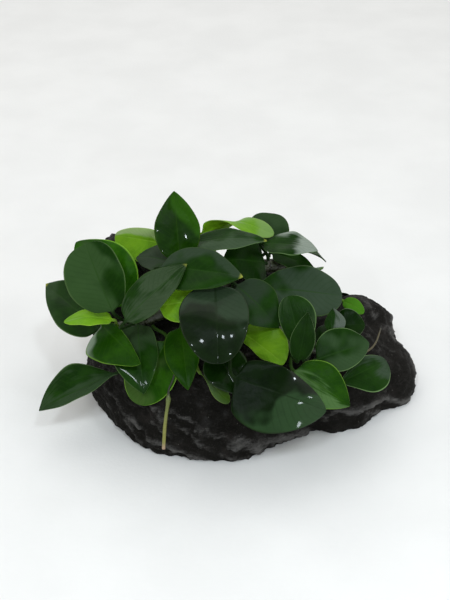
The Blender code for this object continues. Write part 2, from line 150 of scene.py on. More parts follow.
class Wire:
    """A shader socket that can stand in an expression; each operation adds a node."""

    def __init__(self, tree, socket=None):
        self.tree = tree
        self.socket = socket

    def node(self, kind, sockets=None, out=0, **settings):
        """Adds a node with these settings and inputs, and gives one of its outputs."""
        made = self.tree.nodes.new("ShaderNode" + kind)
        for name, value in settings.items():
            setattr(made, name, value)
        for key, value in (sockets or {}).items():
            self.feed(made.inputs[key], value)
        return Wire(self.tree, made.outputs[out])

    def feed(self, socket, value):
        """Puts a wire, a colour, a vector or a number into a socket."""
        if isinstance(value, Wire):
            self.tree.links.new(value.socket, socket)
        elif isinstance(value, tuple) and socket.type == "RGBA":
            socket.default_value = (*value[:3], 1.0)
        else:
            socket.default_value = value

    def maths(self, operation, *values):
        return self.node("Math", dict(enumerate(values)), operation=operation)

    def __add__(self, other):
        return self.maths("ADD", self, other)

    def __sub__(self, other):
        return self.maths("SUBTRACT", self, other)

    def __rsub__(self, other):
        return self.maths("SUBTRACT", other, self)

    def __mul__(self, other):
        return self.maths("MULTIPLY", self, other)

    def __truediv__(self, other):
        return self.maths("DIVIDE", self, other)

    def __rtruediv__(self, other):
        return self.maths("DIVIDE", other, self)

    def __mod__(self, other):
        return self.maths("FLOORED_MODULO", self, other)

    def __abs__(self):
        return self.maths("ABSOLUTE", self)

    __radd__ = __add__
    __rmul__ = __mul__

    def ramp(self, low, high):
        """0 below low and 1 above high, with a soft change between; low may be above high."""
        ends = {"Value": self, "From Min": low, "From Max": high}
        return self.node("MapRange", ends, interpolation_type="SMOOTHSTEP")

    def mix(self, first, second):
        """The colour that is first where this is 0 and second where it is 1."""
        sockets = {0: self, 6: first, 7: second}  # where a Mix node takes its factor and colours
        return self.node("Mix", sockets, out=2, data_type="RGBA")

    def stretch(self, *scale):
        """A vector multiplied part by part."""
        return self.node("VectorMath", {0: self, 1: scale}, operation="MULTIPLY")

    def shift(self, other):
        """A vector moved by another."""
        return self.node("VectorMath", {0: self, 1: other}, operation="ADD")

    def parts(self):
        """A vector's three numbers."""
        split = self.node("SeparateXYZ", {"Vector": self})
        return [Wire(self.tree, end) for end in split.socket.node.outputs]

    def cloud(self, size, detail=3.0, roughness=0.5):
        """Soft noise from 0 to 1 on this position, which is in millimetres."""
        sockets = {"Vector": self, "Scale": 1 / size, "Detail": detail, "Roughness": roughness}
        return self.node("TexNoise", sockets)

    def note(self, name, out="Vector"):
        """What the mesh's points carry under this name."""
        return self.node("Attribute", out=out, attribute_name=name)


def material(name):
    """A new material, its shader node, and the place on the piece in millimetres."""
    made = bpy.data.materials.new(name)
    made.use_nodes = True
    tree = made.node_tree
    place = Wire(tree).node("TexCoord", out="Object").stretch(1 / MM, 1 / MM, 1 / MM)
    return made, tree.nodes["Principled BSDF"], place


def finish(shader, place, look, height, depth):
    """Feeds a shader's inputs, and its normal from a bump height with a depth in millimetres."""
    for name, value in look.items():
        place.feed(shader.inputs[name], value)
    bump = place.node("Bump", {"Height": height, "Distance": depth * MM})
    place.feed(shader.inputs["Normal"], bump)


def add_piece(node, verts, faces, slot, skin, notes):
    """A smooth mesh piece that stands for a solid; verts are in millimetres."""
    name = node + "_skin"
    mesh = bpy.data.meshes.new(name)
    mesh.from_pydata((np.asarray(verts) * MM).tolist(), [], faces)
    for key, values in notes.items():
        values = np.asarray(values, dtype=np.float32)
        kind = "FLOAT" if values.ndim == 1 else "FLOAT_VECTOR"
        layer = mesh.attributes.new(key, kind, "POINT")
        layer.data.foreach_set("value" if values.ndim == 1 else "vector", values.ravel())
    mesh.validate()
    mesh.shade_smooth()
    mesh.materials.append(skin)
    piece = bpy.data.objects.new(name, mesh)
    bpy.context.scene.collection.objects.link(piece)
    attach(piece, "root")
    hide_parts(node)


def band_faces(rings, around):
    """The faces that join each ring of points to the next, with as many points round each."""
    faces = []
    for low in range(0, (rings - 1) * around, around):
        for k in range(around):
            high, after = low + around, (k + 1) % around
            faces.append((low + k, high + k, high + after, low + after))
    return faces


def stone_depth(points):
    """How deep points lie in the stone: over 0 inside it, 0 on its skin."""
    total = np.zeros(len(points))
    for centre, radii in STONE_LUMPS:
        off = (points - np.array(centre)) / np.array(radii)
        total += np.exp(STONE_BLEND * (1 - (off**2).sum(axis=1)))
    return total - 1


def stone_reach(ways):
    """How far the stone's skin is from its heart along each of the unit vectors in ways."""
    near = np.zeros(len(ways))
    far = np.full(len(ways), 2 * STONE_HALF_SIZE.max())
    for _ in range(REACH_HALVINGS):
        middle = (near + far) / 2
        inside = stone_depth(STONE_HEART + ways * middle[:, None]) > 0
        near, far = np.where(inside, middle, near), np.where(inside, far, middle)
    return near


def sight_line(right, down):
    """The way from the viewpoint that the view shows at (right, down)."""
    across, below = right - VIEW_MIDDLE[0], down - VIEW_MIDDLE[1]
    return FORWARD + (Vector((1, 0, 0)) * across - UPWARD * below) / VIEW_FOCUS


def seen_on_stone(right, down):
    """The point of the stone's skin that the view shows at (right, down), or nearly shows."""
    sight = np.array(sight_line(right, down))
    points = np.array(EYE) + sight * SIGHT_STEPS[:, None] * VIEW_DISTANCE
    depth = stone_depth(points)
    met = np.argmax(depth > 0) if (depth > 0).any() else np.argmax(depth)
    return points[met]


def distance_to(points, line):
    """The distances from many points to a line that is given by its points."""
    nearest = np.full(len(points), np.inf)
    for start, end in zip(line, line[1:]):
        run = end - start
        share = np.clip((points - start) @ run / (run @ run), 0, 1)
        nearest = np.minimum(nearest, np.linalg.norm(points - start - share[:, None] * run, axis=1))
    return nearest


def layered_noise(places, size, evenness, ratio, layers):
    """Noise about 0 at each place, in finer and finer layers from a size in millimetres."""
    return np.array([noise.fractal(place / size, evenness, ratio, layers) for place in places])


def stone_relief(skin):
    """How far the weathered skin stands out at each point, and how pale it is there."""
    places = [Vector(point) for point in skin]
    swells, lumps, crumb = (layered_noise(places, *kind) for kind in (SWELLS, LUMPS, CRUMBS))
    bent = skin[:, 2] + WARP_HEIGHT * layered_noise(places, *LAYER_WARP) + LAYER_SLOPE * skin[:, 0]
    layer = (bent + LAYER_FRAYING * crumb) / LAYER_PITCH % 1.0
    # a layer rises slowly from below and breaks off at its upper edge
    shelf = np.where(layer < LAYER_EDGE, layer / LAYER_EDGE, (1 - layer) / (1 - LAYER_EDGE))
    calm = np.array([noise.noise(place / CALM_SIZE + CALM_SHIFT) for place in places])
    layers = shelf**LAYER_HOLLOW * np.clip(CALM_LAYERS[0] + CALM_LAYERS[1] * calm, 0.1, 1)
    pits = np.array([noise.voronoi(place / PIT_SPACING)[0][0] for place in places])
    pits = np.clip(1 - pits / PIT_RADIUS, 0, 1) * np.clip(CALM_PITS[0] + CALM_PITS[1] * calm, 0, 1)
    drawn, near = np.zeros(len(skin)), np.zeros(len(skin))
    for line, width, height in RIDGES:
        line = [seen_on_stone(*point) for point in line]
        away = distance_to(skin + RIDGE_FRAYING * crumb[:, None], line) / width
        drawn = np.maximum(drawn, height * np.exp(-(away**2)))
        near = np.maximum(near, np.exp(-((away / RIDGE_REACH) ** 2)))
    sunk = np.zeros(len(skin))
    for point, radius, depth in HOLLOWS:
        away = np.linalg.norm(skin - seen_on_stone(*point), axis=1) / radius
        sunk = np.maximum(sunk, depth * np.exp(-(away**2) * (1 + HOLLOW_CRUMBS * crumb)))
    relief = SWELL_HEIGHT * swells + LUMP_HEIGHT * lumps + CRUMB_HEIGHT * crumb
    relief += LAYER_DEPTH * (layers - LAYER_MIDDLE) * (1 - LAYER_FADING * near) - PIT_DEPTH * pits
    relief += drawn * (1 + RIDGE_CRUMBS * crumb) - sunk
    # hollows and pits lower the paleness: painted shade in them
    plain = PLAIN_PALENESS * (layers * (1 - near) + crumb + lumps) - pits - HOLLOW_SHADE * sunk
    return relief, np.clip(np.clip(plain, *PLAIN_LIMITS) + RIDGE_PALENESS * drawn, 0, 1)


def stone_skin():
    """Dark, slightly brown stone, grey on its ridges, with fine crystals and a damp gloss."""
    made, shader, place = material("weathered_stone")
    pale = place.note("pale", "Fac")
    _, _, height = place.parts()
    grain = place.cloud(STONE_GRAIN, 5, 0.7)
    patch = place.cloud(STONE_PATCHES, 4, 0.6)
    # stretched along the floor, so the streaks lie as the flow layers do
    streak = place.stretch(0.3, 0.3, 1.5).cloud(STONE_STREAKS, 4, 0.65)
    # the pale note is real wear on the ridges, and lower in hollows and pits as painted shade
    wear_and_shade = (pale * 0.75 + (streak - 0.5) * 1.3 + (grain - 0.5) * 0.8).ramp(0.09, 1.25)
    colour = wear_and_shade.mix(STONE_BLACK, STONE_WORN)
    colour = (grain.ramp(0.5, 0.72) * 0.4).mix(colour, STONE_GREY)
    colour = (patch.ramp(0.5, 0.75) * 0.35).mix(colour, STONE_BROWN)
    crystal = place.node("TexVoronoi", {"Vector": place, "Scale": CRYSTAL_DENSITY})
    colour = (crystal.ramp(0.07, 0.03) * 0.75).mix(colour, STONE_CRYSTAL)
    # the stone's colour is darkened towards the floor over its lowest millimetres
    colour = (height.ramp(DARKENED_HEIGHT, 0.0) * 0.5).mix(colour, STONE_FOOT_DARK)
    rough = 0.62 + 0.3 * grain - 0.15 * pale
    relief = grain * 0.6 + streak * 0.4 + place.cloud(STONE_PORES, 2) * 0.2
    look = {"Base Color": colour, "Roughness": rough, "Coat Weight": patch.ramp(0.45, 0.7) * 0.1}
    finish(shader, place, look | STONE_GLOSS, relief, STONE_BUMP)
    return made


def build_stone():
    """A fine skin round the stone's heart, ring by ring from its top, and flat underneath."""
    share = np.linspace(0, 1, STONE_RINGS)
    climb = np.interp(share, (0, 1 - UNDERSIDE_RINGS, 1), (0, UNDERSIDE_FROM, math.pi))
    turn = np.linspace(0, 2 * math.pi, STONE_SEGMENTS, endpoint=False)
    climb, turn = (part.ravel() for part in np.meshgrid(climb, turn, indexing="ij"))
    ways = np.stack(
        (np.sin(climb) * np.cos(turn), np.sin(climb) * np.sin(turn), np.cos(climb)), axis=1
    )
    ways *= STONE_HALF_SIZE
    ways /= np.linalg.norm(ways, axis=1)[:, None]
    skin = STONE_HEART + ways * stone_reach(ways)[:, None]
    relief, pale = stone_relief(skin)
    verts = skin + ways * relief[:, None]
    # a point below the floor slides back towards the heart until it lies on it
    below = np.minimum(verts[:, 2], 0)
    back = STONE_HEART[2] / (STONE_HEART[2] - below)
    verts = STONE_HEART + (verts - STONE_HEART) * back[:, None]
    faces = band_faces(STONE_RINGS, STONE_SEGMENTS)
    add_piece("stone", verts, faces, "stone", stone_skin(), {"pale": pale * (below == 0)})


build_stone()

# ------------------------------------------------------------------------------ Stem and branch
# The creeping stem lies over the top of the stone, held by its roots, and forks once. It is a
# fleshy green-brown rod with a ring-shaped scar wherever a leaf has dropped, and blunt ends.

STEM_RADIUS = 3.6
STEM_LAYS = {
    "main": (
        (-76, -12, 43), (-54, -18, 57), (-28, -14, 65), (-4, -19, 61), (18, -28, 52), (42, -24, 42),
    ),
    "branch": ((-22, -4, 66), (-4, 10, 67), (14, 20, 64), (34, 26, 50)),
}
STEM_SIDES, STEM_STEP = 28, 0.6
BLUNT_END = 0.02  # keeps a rod's last ring from closing to a point
SCAR_SPACING, SCAR_DEPTH = 4.6, 0.09  # the depth as a share of the radius
SCAR_EDGE = 0.7  # where it starts, as a share of the way to it from halfway between two scars
SCAR_DARKENING = (0.78, 0.95)  # where on that way its colour starts and is full
STEM_FULLNESS, STEM_KNOBBLES = 0.985, (0.05, 4)  # of the radius; height and size
STEM_GRAIN, STEM_PATCHES, STEM_BUMP = 1.2, 7.0, 0.35
STEM_GREEN, STEM_LIGHT = (0.016, 0.022, 0.006), (0.032, 0.042, 0.009)
STEM_SCAR, STEM_CORK, STEM_UNDERSIDE = (0.012, 0.008, 0.004), (0.05, 0.045, 0.018), (0.010, 0.008, 0.004)


def smooth_line(lay, steps=12):
    """Points close together on a smooth line through the points of lay."""
    known = [Vector(point) for point in lay]
    known = [known[0] * 2 - known[1], *known, known[-1] * 2 - known[-2]]
    line = []
    for before, start, end, after in zip(known, known[1:], known[2:], known[3:]):
        for t in (k / steps for k in range(steps)):
            bend = (before * 2 - start * 5 + end * 4 - after) * t**2
            bend += (start * 3 - before - end * 3 + after) * t**3
            line.append((start * 2 + (end - before) * t + bend) / 2)
    return [*line, known[-2]]


def line_length(line):
    return sum((end - start).length for start, end in zip(line, line[1:]))


def along(lay, distance):
    """The point at a distance along the smooth line through lay, and its direction there."""
    line = smooth_line(lay)
    for here, there in zip(line, line[1:]):
        run = (there - here).length
        if distance <= run:
            break
        distance -= run
    return here.lerp(there, min(1, distance / run)), (there - here).normalized()


def rod(lay, radius, sides, step, shape):
    """The skin of a rod along lay; shape gives its radius as a share at a distance and an angle."""
    whole = line_length(smooth_line(lay))
    count = round(whole / step)
    verts, notes = [], []
    for k in range(count + 1):
        distance = whole * k / count
        place, run = along(lay, distance)
        right = run.cross(Vector((0, 0, 1))).normalized()
        upper = right.cross(run)
        end = min(distance, whole - distance) / radius
        taper = math.sqrt(max(BLUNT_END, 1 - (1 - min(1, end)) ** 2))
        for side in range(sides):
            angle = 2 * math.pi * side / sides
            reach = radius * taper * shape(distance, angle)
            verts.append(place + (right * math.cos(angle) + upper * math.sin(angle)) * reach)
            notes.append((distance, whole - distance, math.sin(angle)))
    ends = [tuple(range(sides)), tuple(reversed(range(count * sides, (count + 1) * sides)))]
    return verts, ends + band_faces(count + 1, sides), notes


def knobbles(distance, angle, height, size):
    """Soft noise about 0 round a rod; its height is a share of the radius."""
    return height * noise.noise(Vector((math.cos(angle), math.sin(angle), distance / size)))


def peaks(turns):
    """A line that rises and falls once a turn, from 0 at its half to 1 at each whole number."""
    return abs(turns % 1 - 0.5) * 2


def stem_shape(distance, angle):
    """The stem's radius there, as a share of the usual one: it sinks at each scar."""
    scar = max(0.0, peaks(distance / SCAR_SPACING) - SCAR_EDGE) / (1 - SCAR_EDGE)
    return STEM_FULLNESS - SCAR_DEPTH * scar + knobbles(distance, angle, *STEM_KNOBBLES)


def stem_skin():
    """Green-brown skin with dark scars, corky specks and a browner underside."""
    made, shader, place = material("stem_bark")
    distance, _, up = place.note("run").parts()
    scar = peaks(distance / SCAR_SPACING).ramp(*SCAR_DARKENING)
    grain = place.cloud(STEM_GRAIN, 4, 0.6)
    colour = place.cloud(STEM_PATCHES, 3).ramp(0.35, 0.65).mix(STEM_GREEN, STEM_LIGHT)
    colour = (scar * 0.7).mix(colour, STEM_SCAR)
    colour = (grain.ramp(0.55, 0.75) * 0.4).mix(colour, STEM_CORK)
    colour = (up.ramp(0.0, -0.8) * 0.5).mix(colour, STEM_UNDERSIDE)
    look = {"Base Color": colour, "Roughness": 0.38 + grain * 0.25, "Coat Weight": 0.35}
    finish(shader, place, look, grain - scar * 0.8, STEM_BUMP)
    return made


def build_stems():
    skin = stem_skin()
    for name, lay in STEM_LAYS.items():
        verts, faces, notes = rod(lay, STEM_RADIUS, STEM_SIDES, STEM_STEP, stem_shape)
        add_piece("rhizome_" + name, verts, faces, "stem", skin, {"run": notes})


build_stems()

# ---------------------------------------------------------------------------------------- Roots
# Thin wiry roots grow out of the stem and hold it down. One hangs down the stone's front, dark
# under the leaves and cut off pale at its end, with a little sheath; the others creep over it.


def spot(right, down, height):
    """The point at a height above the floor that the view shows at (right, down)."""
    sight = sight_line(right, down)
    return EYE + sight * ((height - EYE.z) / sight.z)


ROOTS = {  # name: radius and the points it passes
    "root_hanging": (
        0.9,
        (
            (-36, -21, 58.5), (-37, -33, 54), spot(174, 375, 44), spot(169, 389, 36.5),
            spot(168, 402, 30), spot(165, 425, 20), spot(163.5, 450, 8),
        ),
    ),
    "root_right": (
        0.7,
        ((46, -24, 38), (53, -21, 37), spot(369, 350, 37), spot(376, 342, 37), spot(381, 328, 37)),
    ),
    "root_back": (0.8, ((1, 18, 64.5), (1, 31, 57), (0, 42, 44), (-1, 48, 34), (-1, 52, 22))),
    "root_side": (0.7, ((13, 24.5, 60.5), (14, 33, 52), (16, 41, 40), (17, 45, 28), (17, 47, 16))),
}
ROOT_SIDES, ROOT_STEP = 14, 0.5
CUT_ROOT = "root_hanging"
CUT_LENGTH = 5.0  # of its pale end
SHEATH_FROM_END, SHEATH_HALF_LENGTH, SHEATH_SWELLING = 26.0, 2.2, 0.4
SHADED_THINNING = 0.5
SHADED_FROM_SHEATH = (4.0, 5.0)  # the lengths over which its colour and its thickness change
TIP_THINNING = 0.35
ROOT_FULLNESS, ROOT_KNOBBLES = {"cut": 0.95, "whole": 0.85}, (0.10, 3)
GREENING = (8.0, 30.0)  # from its end, where the cut root turns green
ROOT_GRAIN, ROOT_BUMP = 1.5, 0.15
ROOT_STRAW, ROOT_GREEN, ROOT_CUT = (0.22, 0.22, 0.045), (0.10, 0.14, 0.028), (0.40, 0.27, 0.18)
ROOT_SHADED = (0.010, 0.014, 0.005)  # above its sheath, under the leaves
ROOT_BROWN, ROOT_TIP, ROOT_SPECK = (0.058, 0.047, 0.012), (0.020, 0.017, 0.007), (0.07, 0.060, 0.020)


def root_skin(name):
    """Wiry bark: straw and green on the root that was cut, and brown on the others."""
    made, shader, place = material(name + "_bark")
    _, left, _ = place.note("run").parts()
    grain = place.cloud(ROOT_GRAIN, 3)
    if name == CUT_ROOT:
        colour = left.ramp(*GREENING).mix(ROOT_STRAW, ROOT_GREEN)
        colour = left.ramp(CUT_LENGTH, 0.5).mix(colour, ROOT_CUT)
        shaded = left.ramp(SHEATH_FROM_END, SHEATH_FROM_END + SHADED_FROM_SHEATH[0])
        colour = shaded.mix(colour, ROOT_SHADED)
    else:
        colour = left.ramp(7.0, 1.0).mix(ROOT_BROWN, ROOT_TIP)
    colour = (grain.ramp(0.5, 0.75) * 0.3).mix(colour, ROOT_SPECK)
    look = {"Base Color": colour, "Roughness": 0.5 + grain * 0.2, "Coat Weight": 0.1}
    finish(shader, place, look, grain, ROOT_BUMP)
    return made


def cut_root_shape(distance, whole):
    """The cut root's thickness: its sheath swells it, and it is thin and dark above that."""
    past = whole - distance - SHEATH_FROM_END
    sheath = SHEATH_SWELLING * math.exp(-((past / SHEATH_HALF_LENGTH) ** 2))
    shaded = min(1, max(0, past / SHADED_FROM_SHEATH[1]))
    return ROOT_FULLNESS["cut"] + sheath - SHADED_THINNING * shaded


def creeping_root_shape(distance, whole):
    """A whole root's thickness: it thins towards its tip."""
    return ROOT_FULLNESS["whole"] - TIP_THINNING * distance / whole


def build_root(name, radius, lay):
    whole = line_length(smooth_line(lay))
    thickness = cut_root_shape if name == CUT_ROOT else creeping_root_shape

    def shape(distance, angle):
        return thickness(distance, whole) + knobbles(distance, angle, *ROOT_KNOBBLES)

    verts, faces, notes = rod(lay, radius, ROOT_SIDES, ROOT_STEP, shape)
    add_piece(name, verts, faces, "root", root_skin(name), {"run": notes})


for name, (radius, lay) in ROOTS.items():
    build_root(name, radius, lay)

# --------------------------------------------------------------------------------------- Leaves
# Each leaf is a round stalk and a leathery blade that grew out of the stem in one piece. Old
# blades are dark green and young ones lime, with a sunk midrib, a pale margin, and gloss where
# they are wet.

RANDOM = np.random.default_rng(7)
BLADE_THICKNESS = 0.6
STALK_RADIUS, STALK_FOOT = 0.8, 0.25  # the foot is how much thicker it is at the stem
STALK_GAP = 0.7
STALK_SPRING = 0.8  # how far it runs on at the stem, as a share of its run at the blade
# shares of a half blade, from the midrib to the margin
HALF_ACROSS = (0.0, 0.035, 0.1, 0.2, 0.32, 0.45, 0.58, 0.7, 0.81, 0.9, 0.965, 1.0)
ACROSS = np.array([-u for u in reversed(HALF_ACROSS[1:])] + list(HALF_ACROSS))
BLADE_RINGS, STALK_RINGS = 40, 16
VALLEY = 0.5  # share of a half that the soft turn at the midrib takes
VEINS, VEIN_SLANT, VEIN_HEIGHT = 13.0, 3.4, 0.006  # how many along a blade, and their form
GROOVE_DEPTH, GROOVE_WIDTH, RIB_WIDTH = 0.14, 0.07, 0.09  # widths as shares of a half
GROOVE_FADING = 0.6  # how much shallower it is at the tip
CROWN, SWAY, USUAL_WIDTH = 0.25, 0.35, 24.0  # heights on a blade of the usual width
RUFFLES, SWAYS = 2.3, (1.1, 0.6)  # how many along a margin, and along and across a blade
OPENING = 0.07  # share of a blade over which it opens out of the stalk


@dataclass
class Leaf:
    """One leaf: where its blade starts and ends, which way it faces, and its form and colour."""

    foot: Vector  # where the stalk becomes the blade
    tip: Vector
    face: tuple  # the way the upper side looks: degrees to the right of the viewer, degrees up
    width: float
    stem: str
    at: float  # how far along the stem the stalk starts
    tone: str = "dark"
    belly: float = 0.42  # the widest place, as a share of the length
    base: float = 0.6  # over 1 gives a wedge-shaped base, near 0.5 a round one
    point: float = 0.85  # near 1 gives a long point, near 0.5 a round end
    fold: float = 10.0  # degrees that each half rises from flat
    arch: float = 2.0  # rise of the middle of the blade
    twist: float = 0.0  # degrees from foot to tip
    halves: tuple = (1.0, 1.0)  # width of the left and the right half
    slack: float = 0.45  # how far the stalk runs on before it turns
    crest: float = 0.5  # where along the blade its arch is highest
    ruffle: float = 0.5  # how far its margin waves
    creased: float = 0.0  # how much it is creased along its length
    shade: float = 1.0  # how light it is for its tone; low values are partly painted shade on leaves that lie under others
    painted_sheen: tuple = (0, 0, 0)  # painted sheen, where the blade would catch the light or reflect the room: in the middle, more to the right, and to the tip
    # the colour of its painted sheen, standing in for light and reflections
    sheen_colour: tuple = (0.028, 0.056, 0.020)
    wet: float = 0.0  # how wet it is, which makes it gloss
    dry: float = 0.0  # how far from its base it is dry, as a share of its length
    margin: float = 1.0  # how light its margin is
    yellow_tip: float = 0.0  # how yellow its tip has turned


